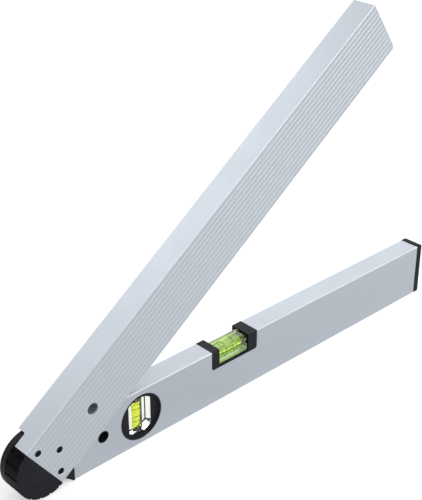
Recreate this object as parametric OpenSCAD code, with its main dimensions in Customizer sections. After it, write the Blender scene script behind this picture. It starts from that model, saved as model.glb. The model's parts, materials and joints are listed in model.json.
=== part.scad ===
// Digital protractor with two straight arms. The base arm is an aluminium box
// section with a level vial and a plumb vial. The swing arm is an aluminium
// channel that folds down over it. They turn on a steel post inside a ribbed
// hub, and the reading shows on a round display head on the hub's far side.
//
// Pieces are drawn in the hinge frame: X runs along the base arm away from the
// hinge axis, Y runs along the axis towards the display side and Z is up.
// The swing arm's pieces are drawn folded and then turned to the rest angle.
// The finished part has its origin at the middle of its underside.

/* [Pose] */
// Angle between the two arms as the part stands
rest_angle = 35.35; // [20:0.05:120]
// Largest angle between the arms
open_angle = 225; // [180:1:225]

/* [Base arm] */
// Length from the hinge axis to the end of the base arm
base_len = 436.5; // [320:0.1:900]
// Width of the box section
base_w = 19.4; // [16:0.1:26]
// Height of the box section
base_h = 49.3; // [48:0.1:62]
// Wall of the box section
base_wall = 1.5; // [1:0.1:2.5]
// Height of the hinge axis above the middle of the box section
axis_rise = 1.05; // [0:0.05:1.5]
// Outside corner radius of the box section
base_corner = 0.5; // [0.2:0.1:1]
// Thickness of the end cap's face
cap_face = 4.8; // [2:0.1:8]
// Length of the end cap inside the box section
cap_plug = 14; // [6:0.5:30]
// Length of the hinge block inside the box section
block_plug = 38; // [36:0.5:42]

/* [Hanging hole] */
// Distance of the hanging holes from the hinge axis
hang_x = 54; // [52:0.1:56]
// Radius of the hole through the bush in the base arm
hang_r = 4.3; // [3:0.1:4.5]
// Wall of the bush that lines the hole in the base arm
hang_bush_wall = 0.7; // [0.5:0.1:1]
// Radius of the plain hole in the swing arm
swing_hang_r = 4.7; // [3:0.1:6]

/* [Swing arm] */
// Length from the hinge axis to the end of the swing arm
swing_len = 434.8; // [320:0.1:900]
// Wall of the channel
swing_wall = 1.3; // [1:0.1:2]
// Gap between the channel's sides and the base arm
side_gap = 0.2; // [0.15:0.05:0.5]
// Gap between the channel's web and the folded base arm
fold_gap = 0.45; // [0.3:0.05:1]
// Height of the folded channel's edges above the base arm's underside
side_rise = 1.5; // [0.5:0.1:4]
// Length of the channel past the hinge axis
end_run = 0.6; // [0:0.1:1]
// Radius of the channel's outer corners
swing_corner = 0.6; // [0.2:0.1:1]
// Number of grooves along each side of the channel
groove_count = 11; // [3:1:11]
// Distance between grooves
groove_pitch = 4.145; // [3:0.005:4.2]
// Width of a groove
groove_w = 1.1; // [0.5:0.1:1.5]
// Depth of a groove
groove_d = 0.28; // [0.1:0.02:0.5]
// Length of the step cut from the far edge of the web
notch_len = 10.9; // [10:0.05:13]
// Distance that the step reaches past the head's rear face, over the hub
notch_reach = 1.3; // [0.6:0.1:2]
// Radius of the step's inner corner
notch_corner = 1.5; // [0.5:0.1:3]
// Size of the cut corners at the free end
tip_cut = 2.2; // [0.5:0.1:5]

/* [Hub] */
// Gap between the hub and the web over it
hub_gap = 0.25; // [0.2:0.05:0.5]
// Depth of the drum's rim below the web's outer face, where the channel leaves it free
drum_inset = 0.3; // [0.2:0.05:0.8]
// Gap between the channel's end and the part of the hub past it
hub_end_gap = 0.1; // [0.1:0.05:0.3]
// Thickness of the hub's near face
hub_face = 2; // [1.5:0.1:2.5]
// Wall of the hub's rim
hub_wall = 2.4; // [2:0.1:3]
// Angle between the grooves in the hub's rim
hub_groove_step = 20; // [10:1:30]
// Radius of a groove in the hub's rim
hub_groove_r = 1.1; // [0.6:0.1:1.5]
// Distance of the hub's screws from the axis
hub_screw_ring = 16.5; // [14:0.1:17]
// Angle between the hub's screws
hub_screw_step = 72; // [60:1:80]

/* [Pivot] */
// Radius of the steel post
post_r = 5; // [4:0.1:6]
// Running clearance between the post and its bush
run_clear = 0.05; // [0.02:0.01:0.1]
// Wall of the bush
bush_wall = 1.95; // [1:0.05:2.5]
// Radius of the post's flange
flange_r = 10.5; // [9:0.1:11]
// Thickness of the post's flange
flange_t = 1.5; // [1:0.1:2]
// Thickness of the thrust washer
thrust_t = 0.5; // [0.3:0.1:0.8]
// Thickness of the friction washer
friction_t = 0.6; // [0.4:0.1:1]
// Free height of the dished spring washer
spring_h = 0.9; // [0.6:0.1:1.2]
// Thickness of the nut
nut_t = 3; // [2:0.1:3.2]
// Width of the nut across its flats
nut_af = 14; // [12:0.1:16]

/* [Display head] */
// Distance of the head's front face behind the channel's far side
head_inset = 0.9; // [0.6:0.1:1.4]
// Distance from the head's rear face to its front face
head_depth = 6.5; // [6.5:0.1:7]
// Gap between the hub and the head
head_gap = 0.4; // [0.3:0.05:0.5]
// Thickness of the head's rear plate
plate_t = 1.6; // [1.4:0.1:1.8]
// Wall of the head's rim
head_wall = 1.9; // [1.4:0.1:2]
// Thickness of the head's front face
face_t = 1.5; // [1.3:0.1:1.6]
// Bevel round the front face
head_bevel = 0.8; // [0.3:0.1:1]
// Width of the head's face outside the display window
window_rim = 3.6; // [3.2:0.1:5]
// Height of the display window's straight edge above the axis
window_base = 2; // [1:0.1:3]
// Thickness of the display window
window_t = 0.8; // [0.5:0.1:1]
// Ledge that carries the window's edge
window_ledge = 1.2; // [0.8:0.1:1.6]
// Width of the display panel
lcd_w = 28; // [24:0.5:28]
// Height of the display panel
lcd_h = 12; // [10:0.1:12]
// Radius of a button
button_r = 3.1; // [2:0.1:3.2]
// Sideways distance of the buttons from the axis
button_x = 16.5; // [16:0.1:17]
// Distance of the buttons below the axis
button_drop = 6.5; // [5:0.1:8]
// How far a button stands proud
button_rise = 0.6; // [0.4:0.1:0.8]
// How far a button travels
button_travel = 0.5; // [0.3:0.05:0.5]
// Radius of the coin cell
cell_r = 10; // [8:0.1:10]
// Thickness of the coin cell
cell_t = 2.5; // [1.6:0.1:2.5]
// Distance of the coin cell's middle below the axis
cell_drop = 11; // [10.5:0.1:11.2]
// Turn that frees the battery cap
cap_turn = 60; // [50:1:70]

/* [Level vial] */
// Distance of the level vial frame's near end from the hinge axis
level_x = 165.5; // [130:0.5:220]
// Length of the level vial frame
level_len = 51; // [44:0.1:60]
// Height of the level vial frame
level_h = 17.1; // [15:0.1:18]
// Width of the frame's post nearer the hinge
level_post_a = 8.35; // [6:0.05:12]
// Width of the frame's post further from the hinge
level_post_b = 10.1; // [6:0.05:12]
// Thickness of the frame under the vial
level_floor = 1.8; // [1:0.1:3]
// Radius of the frame's lower corners
level_corner = 2.3; // [1:0.1:4]
// Recess of the vial block behind the frame's faces
vial_recess = 1.6; // [1:0.1:2.5]
// Depth of the vial block below the frame's top
vial_sink = 1.55; // [1:0.05:3]
// Radius of the level vial's bore
level_bore_r = 5.2; // [4:0.1:5.4]

/* [Plumb vial] */
// Distance of the plumb vial from the hinge axis
plumb_x = 91.2; // [86:0.1:110]
// Radius of the plumb vial's bezel
plumb_r = 20; // [16:0.05:21.5]
// Depth of the recess in the bezel's face
plumb_recess = 1.8; // [1:0.1:2.5]
// Width of the bezel's rim
plumb_rim = 1.5; // [1:0.1:2.5]
// Half width of the window between its straight sides
plumb_half = 11; // [9:0.1:12.5]
// Width of the flat land between the rim and the window
plumb_land = 2.1; // [1:0.05:2.5]
// Radius of the plumb vial's bore
plumb_bore_r = 4.9; // [3.5:0.1:5]

/* [Vials] */
// Distance between a vial's two rings
ring_gap = 11.2; // [8:0.1:14]
// Width of a ring
ring_w = 0.5; // [0.3:0.1:1]
// Gap between the liquid and its bore, where the rings lie
ring_space = 0.2; // [0.15:0.05:0.3]

/* [Hidden] */
$fn = 64;

// Overshoot of a cut past the face it starts from
cut = 1;
// Gap between pieces that are fixed together
seat = 0.05;
// Gap round a piece that moves in an opening
free = 0.25;
// Gap between a screw and the hole that it screws into
screw_fit = 0.02;

// Box section
axis_h = base_h / 2 + axis_rise;
base_top = base_h - axis_h;
base_bottom = -axis_h;
base_mid = (base_top + base_bottom) / 2;
base_half = base_w / 2;
base_in = base_half - base_wall;
tube_end = base_len - cap_face;
plug_half = base_in - seat;
plug_h = base_h - 2 * base_wall - 2 * seat;
plug_corner = 1;
bush_hole_r = hang_r + hang_bush_wall + seat;

// Channel
swing_drop = axis_h - side_rise;
swing_in = base_half + side_gap;
swing_out = swing_in + swing_wall;
web_in = base_top + fold_gap;
web_out = web_in + swing_wall;
groove_mid = (web_out - swing_drop) / 2 - 0.25;
sweep_r = sqrt(web_out * web_out + end_run * end_run);

// Hub and head
hub_r = web_in - hub_gap;
drum_r = web_out - drum_inset;
head_front = swing_out - head_inset;
head_rear = head_front - head_depth;
hub_far = head_rear - head_gap;
hub_floor = hub_face - swing_in;
notch_y = head_rear - notch_reach;
wall_arc_r = drum_r + 0.8;
plate_top = head_rear + plate_t;
face_in = head_front - face_t;
head_in_r = drum_r - head_wall;
window_r = drum_r - window_rim;

// Hinge block: its arc clears the swing arm's end by the sweep gap
sweep_gap = 0.3;
block_arc_r = sweep_r + sweep_gap;
tube_start = block_arc_r + 0.2;
foot_angle = open_angle - 274;
foot_top_x = 14;
foot_heel_x = tube_start - 1.7;
foot_toe_x = tube_start - 4.5;
foot_toe_rise = 3;
lug_x = notch_len + 0.35;
pocket_wall = 1.8;

// Pivot stack: the nut, the spring and the friction washer stand on each
// other from the hub's floor, and the flange hangs from the head
post_tip = 0.4;
nut_y = hub_floor + 2 * post_tip;
spring_y = nut_y + nut_t;
friction_y = spring_y + spring_h;
core_base = friction_y + friction_t;
flange_y = head_rear - flange_t;
core_top = flange_y - thrust_t;
core_plate_top = core_top + 0.9;
core_plate_bottom = (core_top + core_base) / 2;
core_r = hub_r - hub_wall - 0.2;
post_thread_r = post_r - 0.5;
bush_r = post_r + run_clear + bush_wall;
core_boss_r = bush_r + 3;

// Hub screws
hub_screw_r = 1.45;
hub_screw_head_r = 2.75;
hub_screw_sink = 0.3;
hub_sink_r = 3.1;
hub_boss_r = 3.4;
hub_screw_grip = 0.7;

// Head fittings
cover_screw_ring = head_in_r - 1.5;
cover_boss_r = 2.2;
cover_screw_r = 0.8;
cover_head_t = 0.9;
cover_angles = [30, 150, 230, 310];
post_screw_ring = flange_r - 2.5;
post_screw_r = 0.8;
post_head_t = 0.8;
post_angles = [90, 210, 330];
pcb_y = plate_top + 0.8;
pcb_t = 0.8;
pcb_r = head_in_r - 0.4;
pcb_top = pcb_y + pcb_t;
standoff_ring = head_in_r - 2.9;
standoff_r = 1.5;
lcd_y = pcb_top + 0.4;
lcd_base = window_base + window_ledge + 0.2;
encoder_in = flange_r + 1.5;
rotor_out = core_r - 0.7;
rotor_t = 0.5;
stator_out = rotor_out - 2.9;
stator_t = 0.6;
contact_t = 0.2;
cell_y = plate_top + contact_t;
cell_rim = 0.4;
cap_plug_r = cell_r + 0.1;
cap_hole_r = cap_plug_r + free;
cap_flange_r = cell_r + 0.75;
cap_flange_t = window_t;
cap_lug_r = cap_flange_r + 0.55;
cap_lug_t = 0.55;
cap_lug_angle = 24;
flange_skirt_r = button_r + 0.7;
switch_t = 0.3;

// Vials
level_floor_z = base_top - level_h + level_floor;
level_a = level_x + level_post_a;
level_b = level_x + level_len - level_post_b;
block_end = 0.85;
block_top = base_top - vial_sink;
level_mid_x = (level_a + level_b) / 2;
level_mid_z = (level_floor_z + block_top) / 2 + 0.2;
level_lip = 3;
vial_end = 1.4;
plug_t = 1.6;
bubble_r = 2.7;
bubble_len = 10.4;
plumb_window_r = plumb_r - plumb_rim - plumb_land;
plumb_in = base_half - plumb_recess;
plumb_lip = 0.8;
plumb_block_half = plumb_half + 0.4;
plumb_block_r = plumb_window_r + 0.6;
plumb_block_y = plumb_in - plumb_lip;
plumb_bore_top = sqrt(plumb_block_r * plumb_block_r - plumb_bore_r * plumb_bore_r);

// Colours
aluminium = [0.76, 0.78, 0.81];
black = [0.13, 0.14, 0.16];
steel = [0.6, 0.61, 0.63];
bronze = [0.72, 0.55, 0.3];
clear = [0.85, 0.93, 0.8, 0.45];
lime = [0.8, 0.95, 0.1, 0.8];
green_board = [0.1, 0.4, 0.25];

// Row frame: the middle of the underside at the rest angle
low_x = -drum_r;
origin_x = (low_x + base_len) / 2;

module at_base() {
    translate([-origin_x, 0, axis_h]) children();
}

module at_swing() {
    translate([-origin_x, 0, axis_h]) rotate([0, -rest_angle, 0]) children();
}

// An outline in X and Z, given its thickness from y_low to y_high
module slab(y_low, y_high) {
    translate([0, y_high, 0]) rotate([90, 0, 0]) linear_extrude(y_high - y_low) children();
}

// A disc on an axis along Y
module disc(r, y_low, y_high, x = 0, z = 0) {
    translate([x, y_high, z]) rotate([90, 0, 0]) cylinder(r = r, h = y_high - y_low);
}

// A cone on an axis along Y
module cone(r_low, r_high, y_low, y_high, x = 0, z = 0) {
    translate([x, y_high, z]) rotate([90, 0, 0]) cylinder(r1 = r_high, r2 = r_low, h = y_high - y_low);
}

// A ring on an axis along Y
module ring(r_in, r_out, y_low, y_high, x = 0, z = 0) {
    difference() {
        disc(r_out, y_low, y_high, x, z);
        disc(r_in, y_low - cut, y_high + cut, x, z);
    }
}

// A rectangle with rounded corners, centred
module rounded(w, h, r) {
    square([w - 2 * r, h], center = true);
    square([w, h - 2 * r], center = true);
    for (sx = [-1, 1], sz = [-1, 1]) {
        translate([sx * (w / 2 - r), sz * (h / 2 - r)]) circle(r = r);
    }
}

// A cross-section in Y and Z run along X
module run(x_low, x_high) {
    translate([x_low, 0, 0]) rotate([90, 0, 90]) linear_extrude(x_high - x_low) children();
}

module span(x_low, x_high, y_low, y_high, z_low, z_high) {
    translate([x_low, y_low, z_low]) cube([x_high - x_low, y_high - y_low, z_high - z_low]);
}

// Pieces of the base arm

module base_profile() {
    color(aluminium) difference() {
        run(tube_start, tube_end) translate([0, base_mid]) difference() {
            rounded(base_w, base_h, base_corner);
            square([2 * base_in, base_h - 2 * base_wall], center = true);
        }
        disc(bush_hole_r, -base_w, base_w, hang_x, base_mid);
        disc(plumb_r + seat, -base_w, base_w, plumb_x, base_mid);
        slab(-base_w, base_w) level_frame_outline(seat);
    }
}

module end_cap() {
    plug_wall = 1.6;
    color(black) {
        difference() {
            run(tube_end, base_len) translate([0, base_mid]) rounded(base_w, base_h, base_corner);
            for (side = [-1, 1]) {
                cap_edge_cut(side);
            }
        }
        difference() {
            run(tube_end - cap_plug, tube_end) translate([0, base_mid])
                rounded(2 * plug_half, plug_h, plug_corner);
            run(tube_end - cap_plug - cut, tube_end) translate([0, base_mid])
                square([2 * (plug_half - plug_wall), plug_h - 2 * plug_wall], center = true);
        }
    }
}

// Bevels the outer edges of the end cap's face
module cap_edge_cut(side) {
    bevel = 0.9;
    slab(-base_w, base_w) translate([base_len, side > 0 ? base_top : base_bottom])
        rotate(45) square(bevel * sqrt(2), center = true);
    translate([base_len, side * base_half, base_mid]) rotate([0, 0, 45])
        cube([bevel * sqrt(2), bevel * sqrt(2), base_h + cut], center = true);
}

// Outline of the foot and of the part that carries the head, between the
// swing arm's sweep and the end of the box section
module block_outline(left_x) {
    foot = [block_arc_r * cos(foot_angle), block_arc_r * sin(foot_angle)];
    polygon([
        [left_x, base_top],
        [tube_start, base_top],
        [tube_start, base_bottom],
        [foot_heel_x, base_bottom],
        [foot_heel_x - 0.4, base_bottom + 0.7],
        [foot_toe_x, base_bottom + foot_toe_rise],
        foot,
        [0, 0]
    ]);
}

module hinge_block() {
    plug_end = tube_start + block_plug;
    pocket_start = tube_start + 6;
    pocket_half = plug_half - pocket_wall;
    pocket_low = bush_hole_r + pocket_wall;
    pocket_high = plug_h / 2 - pocket_wall;
    color(black) difference() {
        union() {
            // Foot and shoulder, as wide as the box section
            difference() {
                slab(-base_half, base_half) block_outline(foot_top_x);
                disc(block_arc_r, -base_w, base_w);
            }
            // Arm that reaches to the head on the far side of the hub
            difference() {
                slab(head_rear, base_half) block_outline(lug_x);
                disc(drum_r + free, plate_top, base_w);
            }
            disc(drum_r, head_rear, plate_top);
            for (a = [0, 90, 180]) {
                disc(standoff_r, plate_top, pcb_y, standoff_ring * cos(a), standoff_ring * sin(a));
            }
            // Plug inside the box section
            run(tube_start, plug_end) translate([0, base_mid]) rounded(2 * plug_half, plug_h, plug_corner);
        }
        // Pockets that keep the plug's walls even
        for (side = [0, 1]) {
            translate([0, 0, base_mid]) mirror([0, 0, side])
                span(pocket_start, plug_end + cut, -pocket_half, pocket_half, pocket_low, pocket_high);
        }
        disc(bush_hole_r, -base_w, base_w, hang_x, base_mid);
        // Seat for the encoder's fixed disc
        ring(encoder_in - seat, stator_out + seat, head_rear - cut, head_rear + stator_t);
        for (a = cover_angles) {
            x = cover_screw_ring * cos(a);
            z = cover_screw_ring * sin(a);
            disc(cover_screw_r + 0.15, head_rear - cut, plate_top + cut, x, z);
            disc(2 * cover_screw_r + seat, head_rear - cut, head_rear + cover_head_t, x, z);
        }
        for (a = post_angles) {
            x = post_screw_ring * cos(a);
            z = post_screw_ring * sin(a);
            disc(post_screw_r + seat, head_rear - cut, plate_top + cut, x, z);
            cone(post_screw_r, 2 * post_screw_r + seat, plate_top - post_head_t, plate_top + 0.01, x, z);
        }
    }
}

module hanging_bush() {
    color(black) ring(hang_r, hang_r + hang_bush_wall, -base_half, base_half, hang_x, base_mid);
}

// Level vial

// Outline with round lower corners, grown by a gap for the cut-out round it
module level_frame_outline(gap = 0) {
    corner = level_corner + gap;
    low = base_top - level_h - gap;
    left = level_x - gap;
    right = level_x + level_len + gap;
    over = gap > 0 ? cut : 0;
    translate([left, low + corner]) square([right - left, base_top + over - low - corner]);
    translate([left + corner, low]) square([right - left - 2 * corner, 2 * corner]);
    for (x = [left + corner, right - corner]) {
        translate([x, low + corner]) circle(r = corner);
    }
}

module level_vial_frame() {
    skirt = 2.6;
    skirt_t = 2;
    low = base_top - level_h;
    hollow_wall = 4;
    color(black) difference() {
        union() {
            slab(-base_half, base_half) level_frame_outline();
            // Skirt that catches under the edges of the cut-out
            span(level_x - skirt, level_x + level_len + skirt, -plug_half, plug_half,
                low - level_lip, low + skirt_t);
        }
        span(level_a, level_b, -base_w, base_w, level_floor_z, base_top + cut);
        span(level_a - block_end - seat, level_b + block_end + seat,
            vial_recess - base_half - seat, base_half - vial_recess + seat,
            level_floor_z, block_top + seat);
        // Hollow under the floor
        span(level_x + hollow_wall, level_x + level_len - hollow_wall,
            -plug_half + hollow_wall / 2, plug_half - hollow_wall / 2, low - level_lip - cut, low);
    }
}

module level_vial_block() {
    half = base_half - vial_recess;
    bevel = 2.4;
    left = level_a - block_end;
    right = level_b + block_end;
    color(clear) difference() {
        run(left, right) polygon([
            [-half, level_floor_z],
            [half, level_floor_z],
            [half, block_top - bevel],
            [half - bevel, block_top],
            [bevel - half, block_top],
            [-half, block_top - bevel]
        ]);
        translate([left + vial_end, 0, level_mid_z]) rotate([0, 90, 0])
            cylinder(r = level_bore_r, h = right - left);
    }
}

module level_vial_plug() {
    right = level_b + block_end;
    color(clear) translate([right - plug_t, 0, level_mid_z]) rotate([0, 90, 0])
        cylinder(r = level_bore_r - seat, h = plug_t);
}

// An air bubble: a short rod with round ends, along Z
module bubble(r, len) {
    rotate_extrude() intersection() {
        union() {
            square([2 * r, len - 2 * r], center = true);
            translate([0, len / 2 - r]) circle(r = r);
            translate([0, r - len / 2]) circle(r = r);
        }
        translate([0, -len]) square([2 * r, 2 * len]);
    }
}

module level_vial_liquid() {
    left = level_a - block_end + vial_end;
    right = level_b + block_end - plug_t;
    r = level_bore_r - ring_space;
    color(lime) difference() {
        translate([left + seat, 0, level_mid_z]) rotate([0, 90, 0])
            cylinder(r = r, h = right - left - 2 * seat);
        translate([level_mid_x, 0, level_mid_z + r - bubble_r + 0.4]) rotate([0, 90, 0])
            bubble(bubble_r, bubble_len);
    }
}

// Two rings round a vial's liquid, along Z
module vial_rings(bore_r) {
    for (side = [-1, 1]) {
        translate([0, 0, side * ring_gap / 2 - ring_w / 2]) difference() {
            cylinder(r = bore_r - screw_fit, h = ring_w);
            translate([0, 0, -cut]) cylinder(r = bore_r - ring_space + screw_fit, h = ring_w + 2 * cut);
        }
    }
}

module level_vial_rings() {
    color(black) translate([level_mid_x, 0, level_mid_z]) rotate([0, 90, 0]) vial_rings(level_bore_r);
}

// Plumb vial

// A circle with two straight sides
module window_outline(r, half) {
    translate([plumb_x, base_mid]) intersection() {
        circle(r = r);
        square([2 * half, 4 * r], center = true);
    }
}

// One half of the plumb vial's housing, on the side given
module plumb_bezel(side) {
    rim_r = plumb_r - plumb_rim;
    color(black) mirror([0, side > 0 ? 0 : 1, 0]) difference() {
        disc(plumb_r, 0.02, base_half, plumb_x, base_mid);
        cone(rim_r - 0.8, rim_r, plumb_in, base_half + 0.001, plumb_x, base_mid);
        slab(plumb_in - plumb_lip - cut, base_w) window_outline(plumb_window_r, plumb_half);
        slab(-cut, plumb_block_y + seat) window_outline(plumb_block_r + seat, plumb_block_half + seat);
    }
}

module plumb_bezel_near() {
    plumb_bezel(-1);
}

module plumb_bezel_far() {
    plumb_bezel(1);
}

module plumb_vial_block() {
    color(clear) difference() {
        slab(-plumb_block_y, plumb_block_y) window_outline(plumb_block_r, plumb_block_half);
        translate([plumb_x, 0, base_mid - plumb_bore_top + vial_end])
            cylinder(r = plumb_bore_r, h = 3 * plumb_block_r);
    }
}

module plumb_vial_plug() {
    color(clear) translate([plumb_x, 0, base_mid + plumb_bore_top - plug_t])
        cylinder(r = plumb_bore_r - seat, h = plug_t);
}

module plumb_vial_liquid() {
    r = plumb_bore_r - ring_space;
    low = base_mid - plumb_bore_top + vial_end + seat;
    high = base_mid + plumb_bore_top - plug_t - seat;
    color(lime) difference() {
        translate([plumb_x, 0, low]) cylinder(r = r, h = high - low);
        translate([plumb_x, 0, high - bubble_r - 0.3]) bubble(bubble_r, bubble_len);
    }
}

module plumb_vial_rings() {
    color(black) translate([plumb_x, 0, base_mid]) vial_rings(plumb_bore_r);
}

// Display head

// A circle cut straight along its lower side
module segment_outline(r, base) {
    intersection() {
        circle(r = r);
        translate([-r, base]) square([2 * r, r]);
    }
}

module head_cover() {
    color(black) difference() {
        union() {
            difference() {
                union() {
                    disc(drum_r, plate_top, head_front - head_bevel);
                    cone(drum_r, drum_r - head_bevel, head_front - head_bevel, head_front);
                }
                disc(head_in_r, plate_top - cut, face_in);
            }
            for (a = cover_angles) {
                disc(cover_boss_r, plate_top, face_in, cover_screw_ring * cos(a), cover_screw_ring * sin(a));
            }
        }
        slab(head_front - window_t, head_front + cut) segment_outline(window_r + seat, window_base - seat);
        slab(face_in - cut, head_front)
            segment_outline(window_r - window_ledge, window_base + window_ledge);
        for (side = [-1, 1]) {
            disc(button_r + free, face_in - cut, head_front + cut, side * button_x, -button_drop);
        }
        disc(cap_flange_r + free, head_front - cap_flange_t, head_front + cut, 0, -cell_drop);
        disc(cap_hole_r, face_in - cut, head_front, 0, -cell_drop);
        // Ways in for the battery cap's lugs
        slab(face_in - cut, head_front - cap_flange_t + 0.01) cap_lug_outline(-cap_turn, free);
        for (a = cover_angles) {
            disc(cover_screw_r + screw_fit, plate_top - cut, face_in - 0.4,
                cover_screw_ring * cos(a), cover_screw_ring * sin(a));
        }
    }
}

// Two lugs on opposite sides of the battery cap, turned by an angle
module cap_lug_outline(turn, gap) {
    reach = cap_lug_r + gap;
    width = 2 * reach * sin(cap_lug_angle / 2) + 2 * gap;
    translate([0, -cell_drop]) intersection() {
        circle(r = reach);
        rotate(turn) square([2 * reach, width], center = true);
    }
}

module battery_cap() {
    slot_w = 1.6;
    slot_len = 13;
    slot_d = 0.6;
    color(black) difference() {
        union() {
            disc(cap_flange_r, head_front - cap_flange_t, head_front, 0, -cell_drop);
            disc(cap_plug_r, cell_y + cell_t + seat, head_front - cap_flange_t, 0, -cell_drop);
            slab(face_in - seat - cap_lug_t, face_in - seat) cap_lug_outline(0, 0);
        }
        span(-slot_len / 2, slot_len / 2, head_front - slot_d, head_front + cut,
            -cell_drop - slot_w / 2, -cell_drop + slot_w / 2);
    }
}

// A button with a skirt that holds it behind the face
module button(side) {
    x = side * button_x;
    top = head_front + button_rise;
    bevel = 0.3;
    skirt_low = face_in - 0.7;
    stem_r = button_r / 2;
    stem_low = pcb_top + switch_t + button_travel + seat;
    color([0.35, 0.37, 0.4]) {
        disc(button_r, face_in - seat, top - bevel, x, -button_drop);
        cone(button_r, button_r - bevel, top - bevel, top, x, -button_drop);
        disc(flange_skirt_r, skirt_low, face_in - seat, x, -button_drop);
        disc(stem_r, stem_low, skirt_low, x, -button_drop);
    }
}

module power_button() {
    button(-1);
}

module hold_button() {
    button(1);
}

module cover_screws() {
    color(steel) for (a = cover_angles) {
        x = cover_screw_ring * cos(a);
        z = cover_screw_ring * sin(a);
        difference() {
            disc(2 * cover_screw_r, head_rear + seat, head_rear + cover_head_t, x, z);
            disc(0.6, head_rear - cut, head_rear + cover_head_t / 2, x, z);
        }
        disc(cover_screw_r, head_rear + cover_head_t, face_in - 0.6, x, z);
    }
}

module display_window() {
    color([0.55, 0.6, 0.6, 0.5])
        slab(head_front - window_t, head_front) segment_outline(window_r, window_base);
}

module lcd_panel() {
    color([0.62, 0.68, 0.6])
        span(-lcd_w / 2, lcd_w / 2, lcd_y, face_in - seat, lcd_base, lcd_base + lcd_h);
}

module lcd_connector() {
    end = 2;
    strip_w = 1.5;
    color([0.3, 0.3, 0.32])
        span(end - lcd_w / 2, lcd_w / 2 - end, pcb_top, lcd_y, lcd_base + 0.5, lcd_base + 0.5 + strip_w);
}

module circuit_board() {
    color(green_board) difference() {
        disc(pcb_r, pcb_y, pcb_top);
        disc(cell_r + 0.7, pcb_y - cut, pcb_top + cut, 0, -cell_drop);
        slab(pcb_y - cut, pcb_top + cut) translate([0, -cell_drop - cell_r])
            square([2 * cell_r, 2 * cell_r], center = true);
        for (a = cover_angles) {
            disc(cover_boss_r + 0.3, pcb_y - cut, pcb_top + cut,
                cover_screw_ring * cos(a), cover_screw_ring * sin(a));
        }
    }
}

module controller_chip() {
    chip_w = 7;
    chip_t = 0.7;
    chip_low = 8;
    color(black) span(-chip_w / 2, chip_w / 2, pcb_y - chip_t, pcb_y, chip_low, chip_low + chip_w);
}

module button_switches() {
    dome_r = 2.2;
    color(steel) for (side = [-1, 1]) {
        disc(dome_r, pcb_top, pcb_top + switch_t, side * button_x, -button_drop);
    }
}

module battery_contacts() {
    strip_w = 5;
    strip_len = 14;
    clip_w = 4;
    clip_t = 0.25;
    foot_len = 2.7;
    clip_x = cell_r + seat;
    color(steel) {
        // Strip under the cell
        span(-strip_w / 2, strip_w / 2, plate_top, plate_top + contact_t,
            -cell_drop - strip_len / 2, -cell_drop + strip_len / 2);
        // Clip against the cell's side, with its foot on the board
        span(clip_x, clip_x + clip_t, cell_y + cell_rim, cell_y + cell_t - cell_rim,
            -cell_drop - clip_w / 2, -cell_drop + clip_w / 2);
        span(clip_x + clip_t, clip_x + clip_t + foot_len, pcb_top, pcb_top + contact_t,
            -cell_drop - clip_w / 2, -cell_drop + clip_w / 2);
    }
}

module coin_cell() {
    bevel = 0.2;
    color(steel) {
        disc(cell_r - 1.2, cell_y, cell_y + cell_rim, 0, -cell_drop);
        disc(cell_r, cell_y + cell_rim, cell_y + cell_t - bevel, 0, -cell_drop);
        cone(cell_r, cell_r - bevel, cell_y + cell_t - bevel, cell_y + cell_t, 0, -cell_drop);
    }
}

module encoder_stator() {
    color(green_board) ring(encoder_in, stator_out, head_rear, head_rear + stator_t);
}

// Pivot

module pivot_post() {
    color(steel) difference() {
        union() {
            disc(flange_r, flange_y, head_rear);
            disc(post_r, spring_y, flange_y);
            disc(post_thread_r, nut_y - post_tip, spring_y);
        }
        for (a = post_angles) {
            disc(post_screw_r + screw_fit, flange_y - cut, head_rear + cut,
                post_screw_ring * cos(a), post_screw_ring * sin(a));
        }
    }
}

module post_screws() {
    color(steel) for (a = post_angles) {
        x = post_screw_ring * cos(a);
        z = post_screw_ring * sin(a);
        difference() {
            cone(post_screw_r, 2 * post_screw_r, plate_top - post_head_t, plate_top, x, z);
            disc(0.5, plate_top - post_head_t / 2, plate_top + cut, x, z);
        }
        disc(post_screw_r, flange_y + 0.1, plate_top - post_head_t, x, z);
    }
}

module thrust_washer() {
    color([0.9, 0.9, 0.88]) ring(post_r + 0.3, flange_r - 0.2, core_top, flange_y);
}

module friction_washer() {
    color([0.55, 0.3, 0.2]) ring(post_r + 0.2, core_boss_r, friction_y, core_base);
}

module spring_washer() {
    sheet = 0.5;
    r_in = post_r + 0.3;
    r_out = core_boss_r - 0.5;
    color(steel) rotate([-90, 0, 0]) rotate_extrude() polygon([
        [r_in, spring_y],
        [r_out, friction_y - sheet],
        [r_out, friction_y],
        [r_in, spring_y + sheet]
    ]);
}

module pivot_nut() {
    color(steel) difference() {
        translate([0, spring_y, 0]) rotate([90, 0, 0])
            cylinder(r = nut_af / sqrt(3), h = nut_t, $fn = 6);
        disc(post_thread_r + seat, nut_y - cut, spring_y + cut);
    }
}

// Pieces of the swing arm

// Cross-section of the channel, with its V grooves
module channel_section() {
    over = 0.1;
    mouth = groove_w / 2 * (1 + over / groove_d);
    difference() {
        union() {
            translate([-swing_out, -swing_drop]) square([2 * swing_out, web_out + swing_drop - swing_corner]);
            translate([swing_corner - swing_out, web_in])
                square([2 * (swing_out - swing_corner), web_out - web_in]);
            for (side = [-1, 1]) {
                translate([side * (swing_out - swing_corner), web_out - swing_corner]) circle(r = swing_corner);
            }
        }
        translate([-swing_in, -swing_drop - cut]) square([2 * swing_in, web_in + swing_drop + cut]);
        for (i = [0 : groove_count - 1], side = [-1, 1]) {
            z = groove_mid + (i - (groove_count - 1) / 2) * groove_pitch;
            polygon([
                [side * (swing_out + over), z - mouth],
                [side * (swing_out - groove_d), z],
                [side * (swing_out + over), z + mouth]
            ]);
        }
    }
}

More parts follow.
